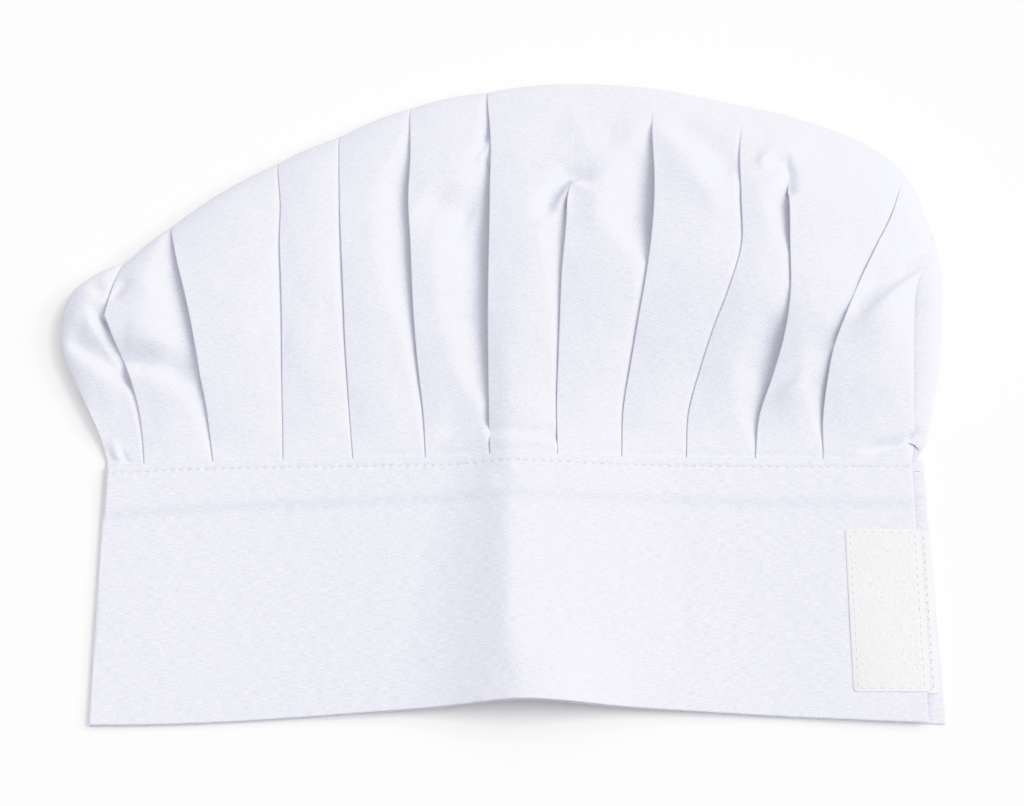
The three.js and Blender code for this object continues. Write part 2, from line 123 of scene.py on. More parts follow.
# Crown lines, from the folded left side over eleven pleats to the hem at the slit. The knots are
# evenly spaced up each line; puff is the height of the cloth beside it, reach is how far up its
# pleat goes if it ends before the top, and corner is the knot where it turns sharply. The gape rows
# give, at a share of the way up, how deep and how wide the cloth on the left sinks under the lip,
# and GAPE_FOOT is the first row of each.
LINES = [
    dict(knots=[(-148.8, 102.7), (-152.3, 113.4), (-157.6, 124), (-163.3, 135), (-167.9, 146.7),
         (-169.2, 159.1), (-165.9, 170.7), (-157.6, 178.4), (-147.6, 183.7)], puff=8),
    dict(knots=[(-134.5, 100.6), (-135.5, 110.6), (-137, 120.2), (-139.5, 129.5), (-142.9, 138.8),
         (-147.5, 148.5), (-151.8, 158.7), (-149.8, 169.3), (-146.8, 182.8)], puff=9, corner=6,
         gape=[(.12, .7, 2), (.3, .9, 3), (.5, 1.4, 4), (.65, 2, 6), (.73, 3, 6), (.8, 1.4, 3),
         (1, .8, 2)]),
    dict(knots=[(-109, 101.6), (-110.7, 112.8), (-112.4, 123.5), (-114.7, 134), (-116.8, 144.9),
         (-119.3, 156.8), (-122.3, 169.1), (-125.7, 182), (-129.4, 199.3)], puff=11,
         gape=[(.1, .8, 2.5), (.26, 1.4, 5), (.43, 2.2, 8), (.6, 2.6, 9), (.78, 2.8, 9),
         (.92, 2.2, 6), (1, 1.2, 3)]),
    dict(knots=[(-83.1, 102.2), (-83.6, 116.4), (-84.1, 130.2), (-84.4, 143.9), (-84.8, 158),
         (-85.6, 173.2), (-86.6, 189.1), (-86.9, 205.7), (-89.4, 227.3)], puff=12,
         gape=[(.3, .8, 2), (.6, .9, 3), (.8, .9, 2), (1, .8, 2)]),
    dict(knots=[(-57.2, 102.9), (-58.6, 118.3), (-59.8, 133.2), (-60.9, 148.1), (-61.7, 163.4),
         (-62.7, 180), (-63.8, 197.2), (-64.6, 215.5), (-65.7, 239.2)], puff=13,
         gape=[(.3, .9, 2), (.6, 1.0, 3), (.8, .8, 2), (1, .7, 2)]),
    dict(knots=[(-30.3, 103.3), (-31.3, 120.1), (-33.3, 136.4), (-34.9, 152.6), (-36, 169.4),
         (-36.9, 187.4), (-38, 206.1), (-37.5, 226), (-38.3, 251.9)], puff=14,
         gape=[(.16, 1, 2.5), (.36, 1.6, 4), (.6, 2.8, 8), (.8, 2.8, 8), (.94, 1, 3), (1, .7, 2)]),
    dict(knots=[(-6.4, 103), (-6.9, 120.5), (-7.2, 137.8), (-7.4, 155.1), (-7.3, 172.9), (-7, 191.7),
         (-6.8, 211.1), (-6.6, 231.9), (-8.4, 259.2)], puff=15,
         gape=[(.05, .8, 2), (.15, 1.6, 4), (.26, 2.8, 8), (.43, 4, 11), (.6, 4.4, 12), (.73, 3, 9),
         (.84, 1.2, 4), (.9, 2, 4), (.96, 1.4, 3), (1, 1, 2)]),
    dict(knots=[(18.6, 102.9), (18.3, 120.7), (18.9, 138.2), (19.6, 155.7), (20.4, 173.7),
         (22.1, 192.8), (23.1, 212.6), (24.7, 233.9), (26.6, 262.8)], puff=17, reach=.735,
         gape=[(.14, .9, 2), (.33, 1.1, 3), (.47, 1.4, 4), (.59, 2, 6), (.68, 2, 5), (.73, 1, 3)]),
    dict(knots=[(42.4, 103.5), (43.1, 121), (45.9, 137.7), (48.9, 154.2), (52, 171.2), (54.6, 189.9),
         (55.9, 209.7), (55.6, 231.1), (54.9, 261)], puff=19, reach=.93,
         gape=[(.18, 1, 2.5), (.37, 1.1, 3), (.53, 1.2, 3), (.6, 3, 9), (.66, 4.5, 12),
         (.75, 4, 11), (.84, 2.4, 7), (.92, .8, 3)]),
    dict(knots=[(66.4, 103.7), (67.5, 120.5), (71.9, 135.9), (77.1, 150.8), (83.2, 165.9),
         (88.2, 183.3), (88.7, 202.4), (88.9, 223.1), (90.8, 252.8)], puff=20, reach=.94,
         gape=[(.16, .9, 2), (.36, .8, 2), (.6, .8, 2), (.74, 1, 3), (.9, .6, 2)]),
    dict(knots=[(92, 103.6), (93.8, 119.5), (98.9, 133.7), (103.3, 147.9), (105.8, 163.2),
         (106.3, 180.5), (106.8, 198.9), (107, 218.8), (113.3, 246.9)], puff=20, reach=.84,
         gape=[(.05, .9, 3), (.11, 1.6, 5), (.22, 2.8, 8), (.36, 3.4, 8), (.45, 1.9, 5),
         (.52, 1, 3), (.62, 1.2, 3), (.68, 2.4, 5), (.75, 3, 6), (.8, 1.8, 5), (.84, .9, 3)]),
    dict(knots=[(117.3, 103.7), (117.4, 117.5), (119, 130.5), (121.6, 143.1), (126.5, 155.6),
         (132.4, 169.3), (139.2, 183.5), (146.4, 198.9), (153.4, 222.2)], puff=17, reach=.97,
         gape=[(.06, .8, 2), (.13, 1.2, 4), (.24, 2.6, 6), (.36, 3, 7), (.45, 1.8, 5), (.6, 1.2, 3),
         (.8, .8, 3), (.95, .7, 2)]),
    dict(knots=[(149.6, 101.8), (151, 112.8), (151.1, 123.5), (151.3, 134.1), (151.7, 145.1),
         (152.3, 156.9), (153.7, 169.1), (158.7, 180.6), (162.7, 196.7)], puff=9.5),
]

# The lower layer's edge at the slit, where it bulges out
BULGE = [(153.2, 103.9), (156.2, 114.2), (158.4, 125.3), (161, 136.8), (162.7, 148.6),
         (163.8, 160.6), (164.6, 172.6), (164.6, 184.8), (162.7, 196.7)]
LAST = len(LINES) - 1

# Creases and soft dents in the crown's upper side, as strokes: the panel that each is on (None for
# any), its depth (a ridge is negative), how wide it is to the left and right of its way, the shares
# of its way over which it fades in and out, and its way
STROKES = [
    (0, 3.3, 6, 4.5, .25, 0, [(-168.7, 151.3), (-162.2, 148.4), (-155.5, 144.2),
        (-147.1, 138.7), (-141.8, 135.5)]),
    (0, -.8, 5, 5, .3, .3, [(-167.3, 162.2), (-160.1, 156.8), (-153.8, 152.5)]),
    (0, .8, 2.4, 2.4, .3, .3, [(-159, 175.2), (-155.2, 170), (-151.6, 165)]),
    (1, 1.1, 2.4, 2, .3, .2, [(-144.4, 175.3), (-146.6, 169.4), (-150, 164)]),
    (1, -.6, 4, 4, .3, .3, [(-144.9, 179.6), (-137.1, 170.7), (-130.8, 160.3)]),
    (1, 3.4, 6, 4.5, 0, .35, [(-147.9, 141), (-139.3, 140.3), (-132.6, 139.3),
        (-124.3, 136), (-116.4, 129.9)]),
    (1, -1, 6, 6, .2, .3, [(-144.6, 149.9), (-134.1, 149.6), (-124.2, 144.5)]),
    (0, .8, 1.3, 1.3, 0, 0, [(-148.4, 105.6), (-146.8, 102.6)]),
    (0, .7, 1.1, 1.1, 0, 0, [(-143.2, 105.6), (-141.6, 102.6)]),
    (0, -.6, 1.6, 1.6, 0, 0, [(-146.7, 108.7), (-144.6, 103)]),
    (3, -.5, 8, 8, .3, .3, [(-84, 149.1), (-77.2, 147.6), (-69.7, 146.5)]),
    (5, 2.6, 8, 9, .35, .15, [(-33.7, 207.5), (-27.5, 203.9), (-21.4, 200.8), (-13, 198.4)]),
    (5, .6, 7, 7, .3, .3, [(-22.7, 168.8), (-20, 160.9), (-17.3, 150.8)]),
    (5, 1.4, 1.7, 1.4, 0, .4, [(-7.5, 235.3), (-10.5, 228.9), (-13.6, 223.3), (-16.6, 217.8)]),
    (5, -.8, 1.6, 1.6, 0, .4, [(-5.9, 232.2), (-9, 227), (-11.6, 220.9)]),
    (5, .9, 1.5, 1.5, .2, 0, [(-10.9, 229), (-8.6, 224.6), (-6.3, 219.8)]),
    (5, .8, 3.5, 2.2, .25, 0, [(-26.8, 110.1), (-20.8, 113.7), (-14.2, 115.9), (-5.3, 117.6)]),
    (5, -.5, 2.5, 3.5, .25, 0, [(-26, 105.3), (-17.1, 109.5), (-5.3, 112.2)]),
    (6, .7, 2.8, 2, 0, 0, [(-8.2, 112), (4.4, 111.7), (13.6, 111.1), (19.9, 108.7)]),
    (6, -.45, 2, 3, 0, 0, [(-8.2, 107.6), (6.2, 108.2), (19.9, 107.1)]),
    (None, 2.9, 4.5, 2.2, .35, .25, [(11.2, 192), (13.9, 198), (17, 204.4), (20.1, 209.9),
        (23.5, 213.7), (27.7, 213.6), (31.9, 209.5)]),
    (None, -2, 2.2, 2.4, .3, .4, [(17.7, 196.1), (19.6, 203), (22.3, 207.7),
        (25.8, 209.7), (29.6, 207.8), (31.8, 202.6)]),
    (7, -.5, 2.4, 2, .3, .4, [(34.2, 214.7), (33.7, 206.8), (32.8, 197.3), (31.6, 187)]),
    (None, -.5, 5, 5, .3, .3, [(2.6, 244.3), (14.2, 247.6), (23.1, 244.4),
        (29.1, 230.7), (33.5, 217.4)]),
    (7, 1, 6, 6, .3, .3, [(36.2, 243.8), (41.3, 229.3), (45.7, 220.6), (50.9, 210.6)]),
    (7, .25, 1.2, 1.2, .3, .3, [(30.2, 252.3), (31.5, 235.6), (33.5, 221.9)]),
    (7, .25, 1.2, 1.2, .3, .3, [(37.2, 252), (37.6, 235.3), (38.9, 220.8)]),
    (8, -.9, 4, 5, .2, .25, [(56, 242.8), (62.8, 228.1), (69.2, 215.6),
        (77.2, 203.1), (84.4, 190.9)]),
    (8, 2.2, 6, 5, .25, .25, [(58.7, 242.9), (67.7, 236.5), (75.5, 228.8),
        (81.6, 219.9), (85.3, 207.3)]),
    (9, .6, 2.8, 2.8, .2, .3, [(91.2, 244.6), (95.7, 237.1), (101.4, 230.4)]),
    (None, -1.6, 2.2, 2.2, .25, .35, [(95.8, 213.8), (97.7, 221.1), (101.8, 225.5),
        (108, 225.8), (114.7, 221.7)]),
    (None, 2.2, 1.9, 2.2, .3, 0, [(98.6, 215.7), (102.6, 219.3), (106.1, 219.4),
        (107.3, 213.5), (106.9, 206.5)]),
    (10, .7, 4, 4, .3, .3, [(116.3, 238.9), (120.1, 229.9), (120, 219.2)]),
    (9, 1.7, 10, 6, .3, .3, [(102.9, 157.2), (98.4, 147.3), (93.1, 136.9), (88.6, 129.2)]),
    (10, -1.8, 8, 2.6, 0, .4, [(122.3, 143.9), (111, 133.6), (102, 125.8), (95.9, 121.4)]),
    (11, -2, 5, 7, .25, .3, [(151.5, 204), (154.5, 199), (157, 192), (158, 185)]),
    (11, 1.6, 3, 3.2, .35, .4, [(145, 176.6), (139.6, 171.6), (131.6, 162.6), (125.8, 155)]),
    (11, -4.2, 10, 3, 0, .4, [(165.4, 182.2), (158, 176), (145.7, 164.6),
        (133.8, 152.8), (126.1, 144.5)]),
    (11, 2, 2.4, 1.8, .35, 0, [(129.7, 105.3), (137.9, 107.6), (144.7, 108.8), (152.2, 110.7)]),
    (11, 1, 1.6, 1.6, 0, 0, [(150, 111.9), (151.3, 108), (150.4, 104.2)]),
    (11, -.8, 1.5, 1.5, 0, 0, [(152.6, 111.1), (153.5, 107.2)]),
    (11, .35, 1, 1, .2, 0, [(153.1, 164.1), (151.9, 144.3), (151.3, 125.6), (151.1, 111.5)]),
]

# Half the strip in which a stroke's two sides blend, and the shares of the crown's height over which
# strokes and unevenness fade in at the seam
STROKE_BLEND = 0.6
STROKES_FADE = (-0.01, 0.03)
UNEVEN_FADE = (0, 0.08)

# Unevenness of the cloth: how high, how many millimetres long, and the wave's seed
CROWN_UNEVEN = [(0.22, 34, 1), (0.1, 13, 2)]
BAND_UNEVEN = [(0.1, 42, 3), (0.05, 11, 4)]

# Pleats: the lip is the rounded edge of the cloth that overlaps, a scallop the panel's own slight
# swell between two pleats, and the tuck how deep the crown's foot goes under the band's edge. A
# pleat's end takes up the share PLEAT_END, and every fold lies flat between FOLD_FLATTENS and 1.
LIP = 0.7
LIP_RADIUS = 0.35
OVERLAP = 5.5
SCALLOP = Sizes(height=0.8, full=0.15)
TUCK = Sizes(depth=0.55, full=0.03)
PLEAT_END = 0.05
FOLD_FLATTENS = 0.965

# The cloth's way round one pleat, from under its lip to the top of it: share of the overlap, share
# of the lip's radius to the left, share of the gape's depth and share of the lip's thickness
FOLD = [
    (0.15, 0, 0.92, 0.12), (0.4, 0, 0.75, 0.4), (0.8, 0, 0.6, 0.7), (1, 0, 0.4, 0.85),
    (0.8, 0, 0, 1.25), (0.35, 0, 0, 1.1),
    (0, 0, 0, 1), (0, 0.75, 0, 0.85), (0, 1, 0, 0.5), (0, 0.75, 0, 0.15),
]
FLAT_FOLD = 0.06

# What the gape rows are multiplied by, and how much of a gape's slope is straight
GAPE_FOOT = (0, 0.6, 1.5)
GAPE = Sizes(depth=1.25, width=1.8, narrow=0.25, narrowest=0.3, straight=0.35, least=0.75)

# Painted shade: the cloth's colour is darkened in a deep gape, where the light can't reach
GAPE_SHADE = Sizes(dark=0.12, reach=2, margin=1.5, bow=1.5, full=4)

# The hem at the slit turns under: how far out, and how far below the upper side
HEM = [(0.2, 0.12), (0.25, 0.3), (0.15, 0.48), (-1, 0.55), (-4, 0.6), (-8, 0.7)]


def mix(a, b, t):
    return a + (b - a) * t


def ease(x, a, b):
    t = np.clip((x - a) / (b - a), 0, 1)
    return t * t * (3 - 2 * t)


def round_in(distance, share):
    s = np.clip(distance / share, 0, 1)
    return np.sqrt(1 - (1 - s) ** 2)


def bell(off, width):
    return np.exp(-((off / width) ** 2))


def short_hump(x, centre, reach):
    s = np.minimum(1, np.abs(x - centre) / reach)
    return np.cos(s * math.pi / 2) ** 2


def line_at(knots, v, corner=None):
    """Points at shares v of the way up a smooth line through evenly spaced knots."""
    k = np.array(knots, float)
    leaving = np.gradient(k, axis=0)
    coming = leaving.copy()
    if corner is not None:
        coming[corner] = k[corner] - k[corner - 1]
        leaving[corner] = k[corner + 1] - k[corner]
    t = np.clip(v, 0, 1) * (len(k) - 1)
    i = np.minimum(t.astype(int), len(k) - 2)
    f = (t - i)[..., None]
    a, b, m, n = k[i], k[i + 1], leaving[i], coming[i + 1]
    return (a * (1 + 2 * f) * (1 - f) ** 2 + m * f * (1 - f) ** 2
            + b * f ** 2 * (3 - 2 * f) + n * f ** 2 * (f - 1))


def wobble(x, y, scale, seed):
    """Smooth unevenness between about -1 and 1, the same on every run."""
    total = 0
    for k in range(6):
        turn = seed * 1.7 + k * 2.4
        wave = (x * math.cos(turn) + y * math.sin(turn)) / (scale * (0.7 + 0.16 * k))
        total = total + np.sin(wave * 2 * math.pi + seed * 3.1 + k * 1.3)
    return total / 3.5


def unevenness(x, y, waves):
    return sum(height * wobble(x, y, length, seed) for height, length, seed in waves)


def strokes(x, y, panel):
    """How deep the creases and dents of one panel are at each place."""
    total = np.zeros_like(x)
    for on, depth, left, right, fade_in, fade_out, way in STROKES:
        if on is not None and on != panel:
            continue
        nearest = np.full_like(x, np.inf)
        side = np.zeros_like(x)
        at = np.zeros_like(x)
        run = 0
        for (ax, ay), (bx, by) in zip(way, way[1:]):
            length = math.hypot(bx - ax, by - ay)
            ux, uy = (bx - ax) / length, (by - ay) / length
            along = np.clip((x - ax) * ux + (y - ay) * uy, 0, length)
            off = np.hypot(x - ax - along * ux, y - ay - along * uy)
            left_of = (y - ay) * ux - (x - ax) * uy
            side = np.where(off < nearest, left_of, side)
            at = np.where(off < nearest, run + along, at)
            nearest = np.minimum(off, nearest)
            run += length
        wide = mix(right, left, ease(side, -STROKE_BLEND, STROKE_BLEND))
        shown = 1
        for share, fade in ((at / run, fade_in), (1 - at / run, fade_out)):
            if fade:
                shown = shown * ease(share, 0, fade)
        total += depth * shown * bell(nearest, wide)
    return total


# Headband shape

def seam_y(x):
    return BAND_HEIGHT - CORNER_DROP.depth * np.exp(-(x - FOLD_X) / CORNER_DROP.reach)


def ridge_at(x, t):
    """The band's ridge: soft at the mouth, then a crease that is steep at its left."""
    soft = bell(x - RIDGE.crest, np.where(x < RIDGE.crest, RIDGE.left, RIDGE.right))
    off = x - mix(RIDGE.crest, CREASE.crest, ease(t, 0, CREASE.shifted))
    away = np.sqrt(off ** 2 + CREASE.round ** 2) - CREASE.round
    left = mix(CREASE.left, CREASE.left_seam, t ** CREASE.narrows)
    steep = np.clip(1 - away / left, 0, 1) ** CREASE.left_bow
    gentle = np.clip(1 - away / CREASE.right, 0, 1) ** CREASE.right_bow
    return mix(soft, np.where(off < 0, steep, gentle), ease(t, CREASE.starts, CREASE.full))


def band_top(x, t):
    arch = short_hump(x, RIDGE.crest, ARCH.reach)
    ridge = ridge_at(x, t)
    raised = mix(RIDGE.mouth, RIDGE.seam, t) * ridge + mix(ARCH.mouth, ARCH.seam, t) * arch
    over = ease(x, HOOK_LIFT.starts, HOOK_LIFT.full) * (1 - ease(t, HOOK_LIFT.fade, 1))
    return FLAT_TOP + raised + HOOK_LIFT.height * over


def band_bottom(x, t):
    return LOWER_RIDGE.mouth * (1 - t) * short_hump(x, RIDGE.crest, LOWER_RIDGE.reach)


def mouth_y(x, lower):
    """The mouth's edge, which lies further in on the lower layer where the two layers part."""
    reach = np.where(x < RIDGE.crest, MOUTH_BOW.left, MOUTH_BOW.right)
    bow = MOUTH_BOW.depth * short_hump(x, RIDGE.crest, reach)
    parting = band_top(x, 0) - band_bottom(x, 0) - FLAT_TOP
    return bow + LOWER_SETBACK * np.maximum(0, parting) * lower


class Sheet:
    """Collects points, their places in the cloth, the shade painted on each, and faces, and makes one
    mesh of them.
    """

    def __init__(self):
        self.points, self.cloth, self.painted_shade = [], [], []
        self.faces, self.slots = [], []
        self.count = 0

    def add(self, points, cloth=None, painted_shade=0.0):
        points = np.asarray(points, float)
        cloth = points if cloth is None else np.asarray(cloth, float)
        index = np.arange(points[..., 0].size).reshape(points.shape[:-1]) + self.count
        self.points.append(points.reshape(-1, 3))
        self.cloth.append(np.broadcast_to(cloth, points.shape).reshape(-1, 3))
        self.painted_shade.append(np.broadcast_to(painted_shade, points.shape[:-1]).ravel())
        self.count += index.size
        return index

    def face(self, faces, slot=0):
        self.faces.extend(faces)
        self.slots.extend([slot] * len(faces))

    def grid(self, index, flip=False, slot=0):
        quads = np.stack([index[:-1, :-1], index[:-1, 1:], index[1:, 1:], index[1:, :-1]], -1)
        quads = quads.reshape(-1, 4)
        if flip:
            quads = quads[:, ::-1]
        self.face(quads.tolist(), slot)

    def zip(self, a, b):
        """Joins two runs of points that start and end side by side."""
        points = np.concatenate(self.points)
        a, b = a.tolist(), b.tolist()

        def gap(i, j):
            if i == len(a) or j == len(b):
                return np.inf
            return np.linalg.norm(points[a[i]] - points[b[j]])

        i = j = 0
        made = []
        while i + 1 < len(a) or j + 1 < len(b):
            if gap(i + 1, j) < gap(i, j + 1):
                made.append([b[j], a[i + 1], a[i]])
                i += 1
            else:
                made.append([b[j], b[j + 1], a[i]])
                j += 1
        self.face(made)

    def tube(self, path, radius, sides=6, painted_shade=0.0):
        """A round thread along a path."""
        path = np.asarray(path, float)
        along = np.gradient(path, axis=0)
        along /= np.linalg.norm(along, axis=1)[:, None]
        side = np.cross(along, (0, 0, 1))
        length = np.linalg.norm(side, axis=1)[:, None]
        side = np.where(length > 1e-6, side / np.maximum(length, 1e-6), (1, 0, 0))
        up = np.cross(side, along)
        radius = np.broadcast_to(radius, len(path))
        turn = np.arange(sides) * 2 * math.pi / sides
        turn = turn[None, :, None]
        ring = side[:, None] * np.cos(turn) + up[:, None] * np.sin(turn)
        rings = path[:, None] + ring * radius[:, None, None]
        index = self.add(rings, None, np.reshape(painted_shade, (-1, 1)))
        self.grid(np.concatenate([index, index[:, :1]], 1), True)
        self.face([index[0].tolist(), index[-1][::-1].tolist()])

    def make(self, name, materials):
        points = (np.concatenate(self.points) + ORIGIN) * MM
        mesh = bpy.data.meshes.new(name)
        mesh.from_pydata(points.tolist(), [], self.faces)
        for material in materials:
            mesh.materials.append(material)
        mesh.polygons.foreach_set("material_index", self.slots)
        mesh.polygons.foreach_set("use_smooth", [True] * len(self.faces))
        cloth = mesh.attributes.new("cloth", "FLOAT_VECTOR", "POINT")
        cloth.data.foreach_set("vector", np.concatenate(self.cloth).ravel())
        # Painted shade: how much each point's base colour is darkened where shade falls
        painted_shade = mesh.attributes.new("painted_shade", "FLOAT", "POINT")
        painted_shade.data.foreach_set("value", np.concatenate(self.painted_shade))
        mesh.validate()
        return add_object(name, mesh)


# Crown

# Where columns stand across a panel, closest at its pleats and at the rounded left side
PANEL_SHARES = 0.5 - 0.5 * np.cos(np.linspace(0, math.pi, 23))
SIDE_CLOSE = 0.3
SIDE_SHARES = np.concatenate([np.linspace(0, SIDE_CLOSE, 12) ** 1.6 / SIDE_CLOSE ** 0.6,
                              np.linspace(SIDE_CLOSE, 1, 18)[1:]])

# Rows up the crown, closer near the seam and towards the top: how many in the middle and at the top
ROWS = Sizes(upper=(118, 22), lower=(44, 14), seam=7, seam_to=0.05, top=0.12)

# How far the first rows lie back under the band's edge, and the least height of the lower one
TUCKED = Sizes(upper=(3.2, 1.0), lower=2, least_z=0.5)
LOWER_STEP = Sizes(height=1.3, full=0.15)

# The lower layer's pleats: share across the panel, and share of the step
LOWER_SAW = [(0, 0.5), (0.1, 0.4), (0.25, 0.25), (0.4, 0.1), (0.49, 0), (0.5, 1), (0.6, 0.9),
             (0.8, 0.7)]


def crown_rows(main, top):
    low = np.linspace(0, ROWS.seam_to, ROWS.seam)
    mid = np.linspace(ROWS.seam_to, 1 - ROWS.top, main)[1:]
    high = 1 - ROWS.top * (1 - np.linspace(0, 1, top)[1:]) ** 2
    return np.concatenate([low, mid, high])


def crown_lines(v):
    return [line_at(line["knots"], v, line.get("corner")) for line in LINES]


def edge_level(v):
    return mix(FOLD_RADIUS, EDGE.level, ease(v, 0, EDGE.full))


def fold_share(line, v):
    """1 where a line is a pleat and 0 above the pleat's end."""
    reach = LINES[line].get("reach", 1)
    return 1 - ease(v, reach - PLEAT_END, reach) if reach < 1 else 1 + 0 * v


def upper_base(panel, share, v, x, y):
    """Height of the upper layer's outside before its pleats gape and its edges are rounded."""
    puff = mix(LINES[panel]["puff"], LINES[panel + 1]["puff"], share)
    early = np.sin(math.pi / 2 * np.minimum(1, v / RISE.early_to))
    rise = mix(ease(v, RISE.starts, RISE.full), early, RISE.early)
    held = mix(fold_share(panel, v), fold_share(panel + 1, v), np.clip(share, 0, 1))
    swell = 0
    if panel:
        swell = SCALLOP.height * np.sin(math.pi * np.clip(share, 0, 1))
        swell = swell * ease(v, 0, SCALLOP.full) * held
    seam = band_top(x, 1) - TUCK.depth * (1 - ease(v, 0, TUCK.full))
    uneven = unevenness(x, y, CROWN_UNEVEN) * ease(v, *UNEVEN_FADE)
    soft = strokes(x, y, panel) * ease(v, *STROKES_FADE) - uneven
    return mix(seam, FLAT_TOP + puff, rise) + swell - soft


def top_curve(ends, panel, share):
    """How far a panel's top stands out from a straight line between its two pleats' tops."""
    step = np.diff(ends, axis=0)
    length = np.linalg.norm(step, axis=1)
    way = step / length[:, None]
    inner = [a / p + b / q for a, b, p, q in zip(way, way[1:], length, length[1:])]
    turn = [way[0]] + inner + [way[-1]]
    a, b = (turn[k] / np.linalg.norm(turn[k]) * length[panel] for k in (panel, panel + 1))
    straight = step[panel]
    return (a - straight) * share * (1 - share) ** 2 + (straight - b) * share ** 2 * (1 - share)


def bow(lines, panel, share, v):
    """How far a panel's cloth moves out so that its top follows the crown's round outline."""
    if not panel:
        return 0
    ends = np.array([line[-1] for line in lines[1:]])
    out = top_curve(ends, panel - 1, share)
    if panel < TOP_SCALLOP.panels:
        step = ends[panel] - ends[panel - 1]
        normal = np.array([-step[1], step[0]]) / np.linalg.norm(step)
        out = out + normal * TOP_SCALLOP.height * math.sin(math.pi * share)
    return out * ease(v, BOW_FROM, 1)[:, None]


def gape(line, v):
    """How deep and how wide the cloth sinks under a pleat's lip, and whether the pleat is there."""
    rows = np.array([GAPE_FOOT] + LINES[line]["gape"])
    folded = fold_share(line, v)
    deep = np.maximum(np.interp(v, rows[:, 0], rows[:, 1]), GAPE.least) * folded
    wide = np.interp(v, rows[:, 0], rows[:, 2])
    widened = np.minimum(GAPE.width, GAPE.narrow * wide + GAPE.narrowest)
    return deep * GAPE.depth, wide * widened, folded


def upper_sheet(v):
    """Points of the upper sheet, from the left side to the slit, and the shade painted on each."""
    lines = crown_lines(v)
    level = edge_level(v)
    rounding = round_in(1 - v, TOP_ROUND.upper)
    points = []
    painted_shades = []

    def place(xy, top, side=1, painted_shade=0):
        points.append(np.column_stack([xy, level + (top - level) * side * rounding]))
        painted_shades.append(painted_shade + 0 * v)

    for panel in range(LAST):
        left, right = lines[panel], lines[panel + 1]
        across = right - left
        width = np.linalg.norm(across, axis=1)
        unit = across / width[:, None]
        start = 0 * v
        if panel:
            deep, _, folded = gape(panel, v)
            fade = folded * (1 - ease(v, FOLD_FLATTENS, 1))
            for k, (reach, out, gaped, plies) in enumerate(FOLD):
                offset = mix((k + 1) * FLAT_FOLD, reach * OVERLAP - out * LIP_RADIUS, fade)
                xy = left + unit * offset[:, None]
                top = upper_base(panel, offset / width, v, xy[:, 0], xy[:, 1])
                top = top - (gaped * deep + plies * LIP * folded)
                # Painted shade on the cloth that sinks under the lip
                place(xy, top, 1, GAPE_SHADE.dark * fade if gaped else 0)
            start = (1 - fade) * (len(FOLD) + 1) * FLAT_FOLD
        for share in PANEL_SHARES if panel else SIDE_SHARES:
            xy = left + unit * start[:, None] + (across - unit * start[:, None]) * share
            xy = xy + bow(lines, panel, share, v)
            top = upper_base(panel, share, v, xy[:, 0], xy[:, 1])
            painted_shade = 0
            if panel + 1 < LAST:
                deep, wide, folded = gape(panel + 1, v)
                off = (1 - share) * width
                near = np.clip(1 - off / wide, 0, 1)
                top = top - deep * mix(ease(near, 0, 1), near, GAPE.straight)
                # Painted shade: the cloth left of the next lip is darkened, most near the lip and in
                # a deep gape
                reach = GAPE_SHADE.reach * deep + GAPE_SHADE.margin
                painted_shade = GAPE_SHADE.dark * np.clip(1 - off / reach, 0, 1) ** GAPE_SHADE.bow
                painted_shade = painted_shade * np.clip(deep / GAPE_SHADE.full, 0, 1) * folded
            place(xy, top, 1 if panel else round_in(share, SIDE_ROUND.upper), painted_shade)
    for out, under in HEM:
        xy = lines[LAST] + unit * out
        place(xy, upper_base(LAST - 1, 1, v, xy[:, 0], xy[:, 1]) - under)
    return np.stack(points, 1), np.stack(painted_shades, 1)


def curl_width(v):
    foot = mix(CURL.foot, 1, ease(v, 0, CURL.full))
    return CURL.radius * ease(1 - v, 0, CURL.narrow) * foot


def lower_sheet(v):
    """The crown's underside, with the side that curls up under the slit's hem at the right."""
    lines = crown_lines(v)
    level = edge_level(v)
    bulge = line_at(BULGE, v)
    width = curl_width(v)

    def place(panel, share, saw):
        last = panel + 1 == LAST
        right = bulge - np.column_stack([width, 0 * v]) if last else lines[panel + 1]
        xy = mix(lines[panel], right, share) + bow(lines, panel, share, v)
        side = 1 if panel else round_in(share, SIDE_ROUND.lower)
        step = LOWER_STEP.height * (1 - share if last else 1) * ease(v, 0, LOWER_STEP.full)
        z = level + (saw * step - level) * side * round_in(1 - v, TOP_ROUND.lower)
        return np.column_stack([xy, z])

    points = [place(0, share, share * LOWER_SAW[0][1]) for share in SIDE_SHARES[::2]]
    points += [place(panel, share, saw) for panel in range(1, LAST) for share, saw in LOWER_SAW]
    start = place(LAST - 1, 1, 0)
    points.append(start)
    hem = upper_base(LAST - 1, 1, v, lines[LAST][:, 0], lines[LAST][:, 1])
    hem = level + (hem - level) * round_in(1 - v, TOP_ROUND.upper)
    curled = ease(v, 0, CURL.full)
    lid = mix(hem - CURL.clear, level, ease(v, CURL.closes, 1))
    half = np.maximum(CURL.least, (lid - start[:, 2]) / 2)
    for k in range(1, CURL.steps + 1):
        angle = math.pi * (curled * (k / CURL.steps) - 0.5)
        x = bulge[:, 0] - width + width * np.cos(angle)
        points.append(np.column_stack([x, bulge[:, 1], start[:, 2] + half + half * np.sin(angle)]))
    last = points[-1]
    for share in CURL.tail_shares:
        inwards = share * CURL.tail * curled * width / CURL.radius
        points.append(np.column_stack([last[:, 0] - inwards, last[:, 1:]]))
    return np.stack(points, 1)


